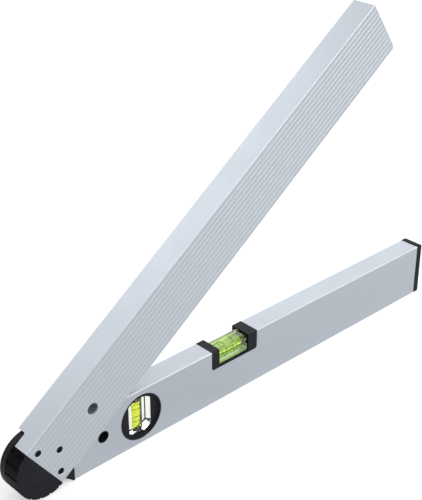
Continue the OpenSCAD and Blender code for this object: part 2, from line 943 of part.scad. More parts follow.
// Outline of the step in the far side, in X and Y, with its inner corner round
module step_outline() {
    corner_x = notch_len - notch_corner;
    difference() {
        translate([-end_run - cut, notch_y]) square([notch_len + end_run + cut, swing_out + cut - notch_y]);
        translate([corner_x, notch_y]) difference() {
            square(notch_corner + cut);
            translate([0, notch_corner]) circle(r = notch_corner);
            translate([0, notch_corner]) square(notch_corner + 2 * cut);
        }
    }
}

module swing_profile() {
    color(aluminium) difference() {
        run(-end_run, swing_len) channel_section();
        // Step in the web, and the far side cut back round the head
        translate([0, 0, -swing_drop - cut]) linear_extrude(web_out + swing_drop + 2 * cut) step_outline();
        disc(wall_arc_r, swing_in - 1, swing_out + cut);
        disc(swing_hang_r, -swing_out - cut, swing_out + cut, hang_x, base_mid);
        slab(-swing_out - cut, swing_out + cut) polygon([
            [swing_len + cut, -swing_drop - cut],
            [swing_len - tip_cut, -swing_drop - cut],
            [swing_len - tip_cut, -swing_drop],
            [swing_len, 1.6 * tip_cut - swing_drop],
            [swing_len + cut, 1.6 * tip_cut - swing_drop]
        ]);
        for (i = [-1 : 1]) {
            x = hub_screw_ring * cos(i * hub_screw_step);
            z = hub_screw_ring * sin(i * hub_screw_step);
            cone(hub_sink_r, hub_screw_r + 0.3, -swing_out, -swing_in, x, z);
            disc(hub_screw_r + 0.3, -swing_out, -swing_in + cut, x, z);
        }
    }
}

// The part of the drum's circle that lies past the channel's end
module hub_end_outline() {
    intersection() {
        circle(r = drum_r);
        translate([-2 * drum_r - end_run - hub_end_gap, -drum_r]) square(2 * drum_r);
    }
}

module hub_shell() {
    spoke_w = 1.6;
    color(black) difference() {
        union() {
            difference() {
                union() {
                    disc(hub_r, -swing_in, hub_far);
                    // Past the channel's end the hub is as wide as the channel and as high as its web
                    slab(-swing_out, hub_far) hub_end_outline();
                }
                disc(hub_r - hub_wall, hub_floor, hub_far + cut);
                for (a = [100 : hub_groove_step : 260]) {
                    disc(hub_groove_r, -swing_out - cut, hub_far + cut,
                        (drum_r + 0.2) * cos(a), (drum_r + 0.2) * sin(a));
                }
            }
            for (i = [-1 : 1]) {
                disc(hub_boss_r, hub_floor, core_plate_bottom,
                    hub_screw_ring * cos(i * hub_screw_step), hub_screw_ring * sin(i * hub_screw_step));
            }
            // Spokes that stiffen the near face
            for (a = [hub_screw_step / 2 : hub_screw_step : 360 - hub_screw_step / 2]) {
                rotate([0, -a, 0]) span(core_boss_r + 2, hub_r - hub_wall / 2,
                    hub_floor - 0.5, core_plate_bottom, -spoke_w / 2, spoke_w / 2);
            }
        }
        for (i = [-1 : 1]) {
            disc(hub_screw_r + 0.1, -swing_in - cut, core_plate_bottom + cut,
                hub_screw_ring * cos(i * hub_screw_step), hub_screw_ring * sin(i * hub_screw_step));
        }
    }
}

module hub_core() {
    color(black) difference() {
        union() {
            disc(core_r, core_plate_bottom, core_plate_top);
            disc(core_boss_r, core_base, core_top);
        }
        disc(flange_r + 0.5, core_top, core_plate_top + cut);
        disc(bush_r, core_base - cut, core_top + cut);
        for (i = [-1 : 1]) {
            disc(hub_screw_r + screw_fit, core_plate_bottom - cut, core_plate_top - hub_screw_grip + 0.2,
                hub_screw_ring * cos(i * hub_screw_step), hub_screw_ring * sin(i * hub_screw_step));
        }
    }
}

module pivot_bush() {
    color(bronze) ring(post_r + run_clear, bush_r, core_base, core_top);
}

module encoder_rotor() {
    color(green_board) ring(encoder_in, rotor_out, core_plate_top, core_plate_top + rotor_t);
}

module hub_screws() {
    head_y = -swing_out + hub_screw_sink;
    shoulder_y = -swing_in - 0.02;
    socket_r = 1.1;
    socket_d = 0.5;
    color([0.2, 0.2, 0.22]) for (i = [-1 : 1]) {
        x = hub_screw_ring * cos(i * hub_screw_step);
        z = hub_screw_ring * sin(i * hub_screw_step);
        difference() {
            cone(hub_screw_head_r, hub_screw_r, head_y, shoulder_y, x, z);
            translate([x, head_y + socket_d, z]) rotate([90, 0, 0])
                cylinder(r = socket_r, h = socket_d + cut, $fn = 6);
        }
        disc(hub_screw_r, shoulder_y, core_plate_top - hub_screw_grip, x, z);
    }
}

at_base() base_profile();
at_base() end_cap();
at_base() hinge_block();
at_base() hanging_bush();
at_base() level_vial_frame();
at_base() level_vial_block();
at_base() level_vial_plug();
at_base() level_vial_liquid();
at_base() level_vial_rings();
at_base() plumb_bezel_near();
at_base() plumb_bezel_far();
at_base() plumb_vial_block();
at_base() plumb_vial_plug();
at_base() plumb_vial_liquid();
at_base() plumb_vial_rings();
at_base() head_cover();
at_base() cover_screws();
at_base() display_window();
at_base() lcd_panel();
at_base() lcd_connector();
at_base() circuit_board();
at_base() controller_chip();
at_base() button_switches();
at_base() battery_contacts();
at_base() coin_cell();
at_base() encoder_stator();
at_base() pivot_post();
at_base() post_screws();
at_base() thrust_washer();
at_base() friction_washer();
at_base() spring_washer();
at_base() pivot_nut();
at_base() power_button();
at_base() hold_button();
at_base() battery_cap();
at_swing() swing_profile();
at_swing() hub_shell();
at_swing() hub_core();
at_swing() pivot_bush();
at_swing() encoder_rotor();
at_swing() hub_screws();
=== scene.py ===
"""Looks of a digital protractor with two aluminium arms, two vials and a round display head."""
import json
import math

import bpy
import numpy as np
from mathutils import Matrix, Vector


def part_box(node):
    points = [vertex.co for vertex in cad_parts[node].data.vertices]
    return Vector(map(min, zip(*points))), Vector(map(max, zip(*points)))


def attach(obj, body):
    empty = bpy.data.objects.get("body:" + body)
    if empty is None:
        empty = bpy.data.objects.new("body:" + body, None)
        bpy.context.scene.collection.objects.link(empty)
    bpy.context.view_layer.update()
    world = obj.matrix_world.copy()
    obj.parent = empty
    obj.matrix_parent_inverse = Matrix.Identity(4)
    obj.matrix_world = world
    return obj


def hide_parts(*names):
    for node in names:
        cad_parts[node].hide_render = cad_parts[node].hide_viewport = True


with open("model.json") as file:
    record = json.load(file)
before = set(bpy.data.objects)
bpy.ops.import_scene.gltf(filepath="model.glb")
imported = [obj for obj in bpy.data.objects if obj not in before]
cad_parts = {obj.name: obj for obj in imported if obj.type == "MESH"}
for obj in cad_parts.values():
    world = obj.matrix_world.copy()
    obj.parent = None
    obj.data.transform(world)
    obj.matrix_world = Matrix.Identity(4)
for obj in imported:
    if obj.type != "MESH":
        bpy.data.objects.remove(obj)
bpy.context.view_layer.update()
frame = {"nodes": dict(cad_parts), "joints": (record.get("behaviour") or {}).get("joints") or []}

# Lengths are in metres, and MM turns a size in millimetres into metres
MM = 0.001

# The hinge carries both arms: distances along the base arm are measured from it
JOINTS = {joint["name"]: joint for joint in frame["joints"]}
HINGE = Vector(JOINTS["arm_hinge"]["pos_m"])
REST_ANGLE = math.radians(-JOINTS["arm_hinge"]["range_deg"][0])

# Camera, as the photograph was taken: where it looks, from the hinge, and from which side
VIEW_CENTRE = (0.173429, 0.0, 0.110419)
VIEW_AZIMUTH = math.radians(-43.132)
VIEW_ELEVATION = math.radians(28.123)
VIEW_DISTANCE = 0.874069
LENS = 81.55
SENSOR = 36.0

# Edges: how far they are rounded, and the angle past which an edge counts as one
WELD_REACH = 0.001 * MM
FLAT_ANGLE = 0.02
SHARP_ANGLE = math.radians(20)
EXTRUDED_EDGE = 0.12 * MM
MOULDED_EDGE = 0.25 * MM
FRAME_EDGE = 0.6 * MM
MOULDED_THIN_EDGE = 0.15 * MM
TURNED_EDGE = 0.1 * MM
ACRYLIC_EDGE = 0.2 * MM


# Materials

class Finish:
    """A material under construction. Each call adds a node and returns its output socket."""

    def __init__(self, name):
        self.material = bpy.data.materials.new(name)
        self.material.use_nodes = True
        self.tree = self.material.node_tree
        self.tree.nodes.clear()
        self.output = self.tree.nodes.new("ShaderNodeOutputMaterial")
        self.place = self.node("ShaderNodeTexCoord").outputs["Object"]

    def node(self, kind, inputs=None, **settings):
        """A node with its settings, and its inputs set to a value or linked to a socket."""
        made = self.tree.nodes.new(kind)
        for name, value in settings.items():
            setattr(made, name, value)
        for key, value in (inputs or {}).items():
            if isinstance(value, bpy.types.NodeSocket):
                self.tree.links.new(value, made.inputs[key])
            else:
                made.inputs[key].default_value = value
        return made

    def maths(self, operation, *values):
        """The result of one sum on one or two values."""
        return self.node("ShaderNodeMath", dict(enumerate(values)), operation=operation).outputs["Value"]

    def turned(self, angle=0.0, stretch=(1.0, 1.0, 1.0)):
        """The piece's own coordinates, turned about Y and then scaled."""
        turned = self.node("ShaderNodeMapping", {"Vector": self.place, "Rotation": (0.0, angle, 0.0)})
        scaled = self.node("ShaderNodeMapping", {"Vector": turned.outputs["Vector"], "Scale": stretch})
        return scaled.outputs["Vector"]

    def grain(self, size, detail=2.0, place=None):
        """Noise whose lumps are about the given size."""
        noise = self.node(
            "ShaderNodeTexNoise",
            {"Vector": place or self.place, "Scale": 1.0 / size, "Detail": detail},
        )
        return noise.outputs["Fac"]

    def spread(self, value, low, high):
        """A noise value spread out between two numbers."""
        spread = self.node(
            "ShaderNodeMapRange",
            {"Value": value, "From Min": 0.3, "From Max": 0.7, "To Min": low, "To Max": high},
        )
        return spread.outputs["Result"]

    def blend(self, share, colour_a, colour_b):
        """A colour between two, by a share that a texture gives."""
        mix = self.node("ShaderNodeMix", data_type="RGBA")
        for key, value in {"Factor": share, 6: colour_a, 7: colour_b}.items():
            if isinstance(value, bpy.types.NodeSocket):
                self.tree.links.new(value, mix.inputs[key])
            else:
                mix.inputs[key].default_value = (*value, 1.0)
        return mix.outputs[2]

    def relief(self, height, depth, under=None):
        """A normal that rises and falls with a texture by the given depth."""
        inputs = {"Height": height, "Distance": depth, "Strength": 1.0}
        if under is not None:
            inputs["Normal"] = under
        return self.node("ShaderNodeBump", inputs).outputs["Normal"]

    def surface(self, **inputs):
        """Ends the material with one physically based surface."""
        named = {key.replace("_", " "): value for key, value in inputs.items()}
        shader = self.node("ShaderNodeBsdfPrincipled", named)
        self.tree.links.new(shader.outputs["BSDF"], self.output.inputs["Surface"])
        return self.material


# Anodised aluminium: its streaks, dark and light, and its paler clouds. Then a pale tone, painted wear,
# painted highlight and painted light: its tone, how far it reaches in from an edge, and how much of it
# shows in a groove
METAL_TONES = ((0.489, 0.533, 0.588), (0.502, 0.544, 0.598), (0.52, 0.559, 0.61))
WEAR_AND_PAINTED_LIGHT_TONE = (0.9, 0.92, 0.95)
EDGE_WEAR_AND_HIGHLIGHT_WIDTH = 0.9 * MM
GROOVE_HIGHLIGHT_AND_INNER_LIGHT_SHARE = 0.3
# Depths below an arm's sides, and below its top and bottom, between which grooves and inner walls turn
# pale, as painted highlight and painted light
GROOVE_DEPTHS = (0.13 * MM, 0.17 * MM)
SKIN_DEPTHS = (0.1 * MM, 0.15 * MM)
STREAK_SIZE = 0.9 * MM
STREAK_STRETCH = (0.012, 1.0, 1.0)
STREAK_DEPTH = 0.0006 * MM
CLOUD_SIZE = 35 * MM
CLOUD_SHARE = 0.35
BLAST_SIZE = 0.22 * MM
BLAST_DEPTH = 0.003 * MM
METAL_GLOSS = (0.36, 0.44)
METAL_SHARE = 0.55


def anodised_aluminium(name, node, tilt, shade, edge_wear_and_highlight_range):
    """Blasted and anodised extrusion with faint streaks along the arm, edges painted pale as wear and
    highlight, and grooves and inner walls painted pale as highlight and light.
    """
    finish = Finish(name)
    streaks = finish.grain(STREAK_SIZE, 4.0, finish.turned(tilt, STREAK_STRETCH))
    clouds = finish.grain(CLOUD_SIZE, 3.0)
    blasted = finish.grain(BLAST_SIZE, 2.0)
    dark, light, pale = (tuple(shade * c for c in tone) for tone in METAL_TONES)
    tone = finish.blend(finish.spread(streaks, 0, 1), dark, light)
    tone = finish.blend(finish.spread(clouds, 0, CLOUD_SHARE), tone, pale)
    depths = arm_depths(finish, node, tilt)
    # Edges painted pale: partly wear, partly painted highlight
    edges = edge_wear_and_highlight(finish, depths, finish.spread(clouds, *edge_wear_and_highlight_range))
    tone = finish.blend(edges, tone, WEAR_AND_PAINTED_LIGHT_TONE)
    # Grooves and inner walls painted pale: painted highlight in the grooves, painted light inside
    tone = finish.blend(painted_groove_and_inner_light(finish, depths, GROOVE_HIGHLIGHT_AND_INNER_LIGHT_SHARE), tone, WEAR_AND_PAINTED_LIGHT_TONE)
    relief = finish.relief(blasted, BLAST_DEPTH)
    relief = finish.relief(streaks, STREAK_DEPTH, relief)
    return finish.surface(
        Base_Color=tone,
        Metallic=METAL_SHARE,
        Roughness=finish.spread(clouds, *METAL_GLOSS),
        Normal=relief,
    )


def arm_depths(finish, node, tilt):
    """How deep a place lies below an arm's two sides, and below its top and bottom, along its length."""
    mesh = frame["nodes"][node].data
    points = np.empty(3 * len(mesh.vertices), np.float32)
    mesh.vertices.foreach_get("co", points)
    points = points.reshape(-1, 3)
    height = math.sin(-tilt) * points[:, 0] + math.cos(tilt) * points[:, 2]
    middle = (height.max() + height.min()) / 2
    placed = finish.node("ShaderNodeSeparateXYZ", {"Vector": finish.turned(tilt)})
    lifted = finish.maths("SUBTRACT", placed.outputs["Z"], float(middle))
    reaches = (
        (placed.outputs["Y"], np.abs(points[:, 1]).max()),
        (lifted, height.max() - middle),
    )
    sizes = [(finish.maths("ABSOLUTE", value), float(edge)) for value, edge in reaches]
    return [finish.maths("SUBTRACT", edge, size) for size, edge in sizes]


def painted_groove_and_inner_light(finish, depths, share):
    """A value that is the given share below an arm's outer skin: painted highlight in a groove and
    painted light on the inner walls.
    """
    for depth, (start, end) in zip(depths, (GROOVE_DEPTHS, SKIN_DEPTHS)):
        below = finish.node(
            "ShaderNodeMapRange", {"Value": depth, "From Min": start, "From Max": end, "To Max": 1.0}
        )
        share = finish.maths("MULTIPLY", share, below.outputs["Result"])
    return share


def edge_wear_and_highlight(finish, depths, share):
    """A value that rises to the given share within a narrow band along an arm's long edges, for their
    painted wear and highlight.
    """
    for depth in depths:
        near = finish.node(
            "ShaderNodeMapRange",
            {"Value": depth, "From Min": EDGE_WEAR_AND_HIGHLIGHT_WIDTH, "From Max": 0.3 * EDGE_WEAR_AND_HIGHLIGHT_WIDTH},
            interpolation_type="SMOOTHSTEP",
        )
        share = finish.maths("MULTIPLY", share, near.outputs["Result"])
    return share


# Moulded plastic: its pits and flow marks. A piece's near face keeps its colours this far back, and
# the rest has this share of its dark tone, as painted shade
PIT_SIZE = 0.3 * MM
PIT_DEPTH = 0.006 * MM
FLOW_SIZE = 9 * MM
FACE_REACH = 0.08 * MM
PAINTED_SIDE_SHADE = 0.12


def moulded_plastic(name, dark, light, gloss, pit=PIT_SIZE, depth=PIT_DEPTH, shine=0.12, face=None):
    """Moulded plastic with an eroded texture and faint flow marks.

    Where the Y of a near face is given, only that face has the colours, and the rest is darker, as
    painted shade.
    """
    finish = Finish(name)
    flow = finish.grain(FLOW_SIZE, 3.0)
    pits = finish.grain(pit, 3.0)
    tone = finish.blend(finish.spread(flow, 0, 1), dark, light)
    if face is not None:
        across = finish.node("ShaderNodeSeparateXYZ", {"Vector": finish.place}).outputs["Y"]
        # The sides behind the near face are painted darker, as painted shade
        painted_shade_side = finish.maths("GREATER_THAN", across, face + FACE_REACH)
        tone = finish.blend(painted_shade_side, tone, tuple(PAINTED_SIDE_SHADE * c for c in dark))
    return finish.surface(
        Base_Color=tone,
        Roughness=finish.spread(flow, gloss - 0.05, gloss + 0.05),
        Specular_IOR_Level=shine,
        Normal=finish.relief(pits, depth),
    )


# Clear plastic: its index, its mould's ripples, and the paint on the level block's underside
ACRYLIC_INDEX = 1.49
RIPPLE_SIZE = 4 * MM
RIPPLE_DEPTH = 0.0002 * MM
BACKING_TONE = (0.86, 0.93, 0.66)
PAINT_REACH = 0.1 * MM


def clear_plastic(name, colour, painted_below=None):
    """Clear acrylic with faint ripples from its mould. Below a height, if given, it is painted pale."""
    finish = Finish(name)
    ripples = finish.grain(RIPPLE_SIZE, 2.0)
    tone = finish.blend(finish.spread(ripples, 0, 1), colour, tuple(0.97 * c for c in colour))
    clarity = 1.0
    if painted_below is not None:
        height = finish.node("ShaderNodeSeparateXYZ", {"Vector": finish.place}).outputs["Z"]
        clarity = finish.maths("GREATER_THAN", height, painted_below)
        tone = finish.blend(clarity, BACKING_TONE, tone)
    return finish.surface(
        Base_Color=tone,
        Roughness=finish.spread(ripples, 0.0, 0.02),
        IOR=ACRYLIC_INDEX,
        Transmission_Weight=clarity,
        Normal=finish.relief(ripples, RIPPLE_DEPTH),
    )


# The vials' liquid: its index, its colour at the surface, and what it takes from light inside
LIQUID_INDEX = 1.36
LIQUID_TONES = ((1.0, 1.0, 0.27), (0.985, 1.0, 0.24))
LIQUID_TINT = (0.95, 0.993, 0.0, 1.0)
LIQUID_DENSITY = 350.0


def vial_liquid(name):
    """Lime liquid: blue light is absorbed at once and red light slowly, so long paths turn green."""
    finish = Finish(name)
    swirl = finish.grain(3 * MM, 2.0)
    material = finish.surface(
        Base_Color=finish.blend(finish.spread(swirl, 0, 1), *LIQUID_TONES),
        Roughness=0.0,
        IOR=LIQUID_INDEX,
        Transmission_Weight=1.0,
    )
    inside = finish.node(
        "ShaderNodeVolumeAbsorption", {"Color": LIQUID_TINT, "Density": LIQUID_DENSITY}
    )
    finish.tree.links.new(inside.outputs["Volume"], finish.output.inputs["Volume"])
    return material


def turned_metal(name, dark, light, gloss, tilt=0.0):
    """Machined metal with fine tool marks and a little tarnish."""
    finish = Finish(name)
    marks = finish.grain(0.12 * MM, 3.0, finish.turned(tilt, (1.0, 0.08, 1.0)))
    tarnish = finish.grain(3 * MM, 3.0)
    return finish.surface(
        Base_Color=finish.blend(finish.spread(tarnish, 0, 1), dark, light),
        Metallic=1.0,
        Roughness=finish.spread(tarnish, gloss - 0.06, gloss + 0.06),
        Normal=finish.relief(marks, 0.002 * MM),
    )


# Circuit board: how far its tracks lie apart, their half width as a share of that, and their height
TRACK_PITCH = 2.4 * MM
TRACK_SHARE = 0.12
TRACK_HEIGHT = 0.03 * MM


def solder_mask(name):
    """Circuit board: green lacquer over a pattern of copper tracks."""
    finish = Finish(name)
    cells = finish.node(
        "ShaderNodeTexVoronoi",
        {"Vector": finish.place, "Scale": 1 / TRACK_PITCH},
        feature="DISTANCE_TO_EDGE",
        distance="CHEBYCHEV",
    )
    tracks = finish.maths("LESS_THAN", cells.outputs["Distance"], TRACK_SHARE)
    return finish.surface(
        Base_Color=finish.blend(tracks, (0.012, 0.11, 0.05), (0.03, 0.2, 0.09)),
        Roughness=0.3,
        Normal=finish.relief(tracks, TRACK_HEIGHT),
    )


def liquid_crystal(name):
    """Display panel: grey-green reflective glass with a faint dot pattern."""
    finish = Finish(name)
    dots = finish.grain(0.25 * MM, 1.0)
    return finish.surface(
        Base_Color=finish.blend(finish.spread(dots, 0, 1), (0.36, 0.4, 0.33), (0.4, 0.44, 0.37)),
        Roughness=0.28,
    )


BLACK = moulded_plastic("moulded_black", (0.008, 0.0095, 0.0135), (0.0115, 0.013, 0.0175), 0.5)
# The hub's rim and sides are painted darker than its near face, as painted shade
HUB_BLACK = moulded_plastic(
    "hub_black", (0.0225, 0.0235, 0.0285), (0.0285, 0.03, 0.036), 0.48,
    shine=0.04, face=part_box("hub_shell")[0].y,
)
RUBBER = moulded_plastic(
    "button_rubber", (0.05, 0.053, 0.06), (0.07, 0.073, 0.08), 0.6, 0.5 * MM, 0.01 * MM
)
PRINT = moulded_plastic("printed_marks", (0.6, 0.61, 0.62), (0.66, 0.67, 0.68), 0.5)
SEGMENT = moulded_plastic("display_segments", (0.01, 0.012, 0.012), (0.016, 0.018, 0.018), 0.35)
CONNECTOR = moulded_plastic("contact_strip", (0.03, 0.03, 0.033), (0.05, 0.05, 0.055), 0.7)
ACETAL = moulded_plastic("acetal", (0.72, 0.72, 0.69), (0.78, 0.78, 0.75), 0.35, shine=0.5)
FRICTION = moulded_plastic(
    "friction_disc", (0.11, 0.055, 0.03), (0.2, 0.11, 0.06), 0.8, 0.6 * MM, 0.03 * MM
)
RING_INK = moulded_plastic("vial_ring_ink", (0.01, 0.011, 0.011), (0.014, 0.015, 0.015), 0.5)
# The swing arm's edges get less of the painted wear and highlight than the base arm's
SWING_METAL = anodised_aluminium("anodised_swing_arm", "swing_profile", REST_ANGLE, 0.995, (0.15, 0.5))
BASE_METAL = anodised_aluminium("anodised_base_arm", "base_profile", 0.0, 0.94, (0.6, 1.0))
LEVEL_TINT = (0.82, 1.0, 0.74)
LEVEL_ACRYLIC = clear_plastic("level_vial_acrylic", LEVEL_TINT)
BACKED_ACRYLIC = clear_plastic(
    "level_block_acrylic", LEVEL_TINT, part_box("level_vial_block")[0].z + PAINT_REACH
)
PLUMB_ACRYLIC = clear_plastic("plumb_vial_acrylic", (0.98, 1.0, 0.97))
WINDOW = clear_plastic("display_window_acrylic", (0.93, 0.96, 0.97))
LIQUID = vial_liquid("lime_vial_liquid")
STEEL = turned_metal("bright_steel", (0.5, 0.5, 0.5), (0.6, 0.6, 0.6), 0.3)
DARK_STEEL = turned_metal("blackened_steel", (0.007, 0.0075, 0.009), (0.013, 0.0135, 0.0155), 0.36)
CELL_STEEL = turned_metal("coin_cell_steel", (0.55, 0.55, 0.54), (0.63, 0.63, 0.62), 0.22)
BRONZE = turned_metal("bearing_bronze", (0.45, 0.27, 0.1), (0.56, 0.35, 0.15), 0.32)
BOARD = solder_mask("circuit_board_lacquer")
PANEL = liquid_crystal("display_panel_glass")

# Each CAD node's material and how far its edges are rounded; nought leaves them as they are
NODE_FINISH = {
    "base_profile": (BASE_METAL, EXTRUDED_EDGE),
    "swing_profile": (SWING_METAL, EXTRUDED_EDGE),
    "hinge_block": (BLACK, MOULDED_EDGE),
    "hanging_bush": (BLACK, MOULDED_THIN_EDGE),
    "level_vial_frame": (BLACK, FRAME_EDGE),
    "level_vial_plug": (LEVEL_ACRYLIC, 0.0),
    "level_vial_rings": (RING_INK, 0.0),
    "plumb_vial_block": (PLUMB_ACRYLIC, ACRYLIC_EDGE),
    "plumb_vial_plug": (PLUMB_ACRYLIC, 0.0),
    "plumb_vial_rings": (RING_INK, 0.0),
    "head_cover": (BLACK, MOULDED_EDGE),
    "cover_screws": (STEEL, TURNED_EDGE),
    "display_window": (WINDOW, TURNED_EDGE),
    "lcd_panel": (PANEL, TURNED_EDGE),
    "lcd_connector": (CONNECTOR, TURNED_EDGE),
    "circuit_board": (BOARD, TURNED_EDGE),
    "controller_chip": (SEGMENT, TURNED_EDGE),
    "button_switches": (STEEL, TURNED_EDGE),
    "battery_contacts": (STEEL, 0.0),
    "coin_cell": (CELL_STEEL, TURNED_EDGE),
    "encoder_stator": (BOARD, TURNED_EDGE),
    "pivot_post": (STEEL, TURNED_EDGE),
    "post_screws": (STEEL, TURNED_EDGE),
    "thrust_washer": (ACETAL, TURNED_EDGE),
    "friction_washer": (FRICTION, TURNED_EDGE),
    "spring_washer": (STEEL, TURNED_EDGE),
    "pivot_nut": (STEEL, MOULDED_THIN_EDGE),
    "power_button": (RUBBER, MOULDED_THIN_EDGE),
    "hold_button": (RUBBER, MOULDED_THIN_EDGE),
    "battery_cap": (BLACK, MOULDED_THIN_EDGE),
    "hub_shell": (HUB_BLACK, MOULDED_THIN_EDGE),
    "hub_core": (HUB_BLACK, MOULDED_THIN_EDGE),
    "pivot_bush": (BRONZE, TURNED_EDGE),
    "encoder_rotor": (BOARD, TURNED_EDGE),
    "hub_screws": (DARK_STEEL, TURNED_EDGE),
}


def joined_faces():
    """A node group that closes a mesh of loose triangles and shades it smooth."""
    group = bpy.data.node_groups.new("joined_faces", "GeometryNodeTree")
    group.interface.new_socket("Geometry", in_out="INPUT", socket_type="NodeSocketGeometry")
    group.interface.new_socket("Geometry", in_out="OUTPUT", socket_type="NodeSocketGeometry")
    start = group.nodes.new("NodeGroupInput")
    weld = group.nodes.new("GeometryNodeMergeByDistance")
    weld.inputs["Distance"].default_value = WELD_REACH
    end = group.nodes.new("NodeGroupOutput")
    group.links.new(start.outputs[0], weld.inputs["Geometry"])
    last = weld.outputs["Geometry"]
    for name in ("custom_normal", "sharp_edge"):
        drop = group.nodes.new("GeometryNodeRemoveAttribute")
        drop.inputs["Name"].default_value = name
        group.links.new(last, drop.inputs["Geometry"])
        last = drop.outputs["Geometry"]
    smooth = group.nodes.new("GeometryNodeSetShadeSmooth")
    group.links.new(last, smooth.inputs["Geometry"])
    group.links.new(smooth.outputs["Geometry"], end.inputs[0])
    return group


JOINED = joined_faces()


def weigh_normals(piece):
    """Shades a piece's flats flat and leaves the change of shade to its rounded edges."""
    normals = piece.modifiers.new("normals", "WEIGHTED_NORMAL")
    normals.weight = 50
    normals.keep_sharp = False


def soften(piece, width):
    """Rounds a CAD node's edges: triangles are joined, flats dissolved, and sharp edges bevelled."""
    joined = piece.modifiers.new("joined", "NODES")
    joined.node_group = JOINED
    if width == 0:
        return
    flats = piece.modifiers.new("flats", "DECIMATE")
    flats.decimate_type = "DISSOLVE"
    flats.angle_limit = FLAT_ANGLE
    edges = piece.modifiers.new("edges", "BEVEL")
    edges.width = width
    edges.segments = 2
    edges.limit_method = "ANGLE"
    edges.angle_limit = SHARP_ANGLE
    weigh_normals(piece)


def dress_nodes():
    """Gives each CAD node its material and its rounded edges."""
    for name, (material, width) in NODE_FINISH.items():
        piece = frame["nodes"][name]
        piece.data.materials.clear()
        piece.data.materials.append(material)
        soften(piece, width)


# New pieces

# The higher this power, the sharper the corners of outlines with straight sides
CORNER_POWER = 60
OUTLINE_STEPS = 360
OUTLINE_ANGLES = np.linspace(0, 2 * math.pi, OUTLINE_STEPS, endpoint=False)
QUARTER = math.pi / 2


def make_piece(name, points, faces, material, body):
    """An object at the origin with the given points and faces, which rides on a body."""
    mesh = bpy.data.meshes.new(name)
    mesh.from_pydata(points.tolist(), [], faces)
    mesh.polygons.foreach_set("use_smooth", np.ones(len(mesh.polygons), bool))
    mesh.materials.append(material)
    mesh.update()
    piece = bpy.data.objects.new(name, mesh)
    bpy.context.scene.collection.objects.link(piece)
    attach(piece, body)
    return piece


def carried_round(along, reach, angle, centre, axis, side, squash=1.0):
    """Points and faces of a profile carried round an axis.

    Point (i, j) lies at centre + along[i] * axis, plus reach[i, j] times the direction that turns
    through angle[j] from side; squash flattens the turn across side. Where the profile starts and
    ends on the axis, each end is one pole. Otherwise it is a loop, and its last row joins its first.
    """
    axis = np.array(axis, float)
    side = np.array(side, float)
    across = np.cross(axis, side)
    turn = np.cos(angle)[:, None] * side + squash * np.sin(angle)[:, None] * across
    rings = along[:, None, None] * axis + reach[:, :, None] * turn[None]
    loop = reach[0].max() > 0
    if not loop:
        rings = rings[1:-1]
    count, steps = rings.shape[:2]
    row = np.arange(count if loop else count - 1)[:, None] * steps
    col = np.arange(steps)
    after = (col + 1) % steps
    there = (row + steps) % (count * steps)
    faces = np.stack([row + col, row + after, there + after, there + col], -1).reshape(-1, 4).tolist()
    points = rings.reshape(-1, 3)
    if not loop:
        last = (count - 1) * steps
        start_pole, end_pole = count * steps, count * steps + 1
        faces += np.stack([np.full(steps, start_pole), after, col], -1).tolist()
        faces += np.stack([np.full(steps, end_pole), last + col, last + after], -1).tolist()
        points = np.concatenate([points, along[[0, -1], None] * axis])
    return np.array(centre, float) + points, faces


def carried_rows(rows, centre, axis, side):
    """A profile carried round an axis, from rows of its reach at each outline angle and its place."""
    along = np.array([place for _, place in rows])
    reach = np.array([around for around, _ in rows])
    return carried_round(along, reach, OUTLINE_ANGLES, centre, axis, side)


def revolved(along, radius, centre, axis, side, squash=1.0, steps=64):
    """A round piece: a profile carried round an axis at the same radius all the way."""
    angle = np.linspace(0, 2 * math.pi, steps, endpoint=False)
    reach = radius[:, None] + 0 * angle
    return carried_round(along, reach, angle, centre, axis, side, squash)


def outline(angle, sides, radius=None):
    """How far an outline with straight sides and faintly round corners lies from its axis.

    Each side is the direction that it faces and its distance d. The reach at an angle is
    (sum of (cos(angle - direction) / d) ** p) ** (-1 / p), over the sides that face that way and,
    if a radius is given, a circle that bounds them.
    """
    total = 0 * angle + (0.0 if radius is None else radius ** -CORNER_POWER)
    for direction, distance in sides:
        total = total + (np.maximum(np.cos(angle - direction), 0) / distance) ** CORNER_POWER
    return total ** (-1 / CORNER_POWER)


def rounded_corner(corner, back, on, reach, turns=5):
    """A quarter turn in place of a profile's corner, from a step back to a step on."""
    share = np.linspace(0, math.pi / 2, turns)[:, None]
    back, on = np.array(back, float), np.array(on, float)
    return np.array(corner) + reach * ((1 - np.sin(share)) * back + (1 - np.cos(share)) * on)


def joined(*parts):
    """Several lots of points and faces as one."""
    start = np.cumsum([0] + [len(points) for points, _ in parts])
    points = np.concatenate([points for points, _ in parts])
    faces = [[i + s for i in face] for s, (_, faces) in zip(start, parts) for face in faces]
    return points, faces


def flipped(part):
    """The same points with every face turned over."""
    points, faces = part
    return points, [face[::-1] for face in faces]


def rod_profile(half_length, radius, corner, turns=8):
    """A rod's profile: flat ends on the axis, quarter circles of the corner radius, straight side."""
    angle = np.linspace(0, math.pi / 2, turns)
    rise = radius - corner + corner * np.sin(angle)
    run = half_length - corner + corner * np.cos(angle)
    along = np.concatenate([[-half_length], -run, run[::-1], [half_length]])
    return along, np.concatenate([[0], rise, rise[::-1], [0]])


def capsule_profile(half_length, radius, turns=12):
    """A rod with round ends, as a profile from one pole to the other."""
    angle = np.linspace(0, math.pi / 2, turns)
    rise = radius * np.sin(angle)
    run = half_length - radius + radius * np.cos(angle)
    return np.concatenate([-run, run[::-1]]), np.concatenate([rise, rise[::-1]])


# Liquids overlap their bores a little, so that light bends once from acrylic to liquid
LIQUID_OVERLAP = 0.05 * MM
ROD_CORNER = 0.2 * MM
# Bubbles: half length and radius of the lying one, which is this much wider than deep, half length
# and corner of the standing one, and the liquid left over them
BUBBLE_HALF = 6.0 * MM
BUBBLE_RADIUS = 2.5 * MM
CAPPING_BUBBLE_HALF = 1.5 * MM
CAPPING_BUBBLE_CORNER = 1.2 * MM
BUBBLE_WIDTH = 1.4
BUBBLE_SKIN = 0.2 * MM


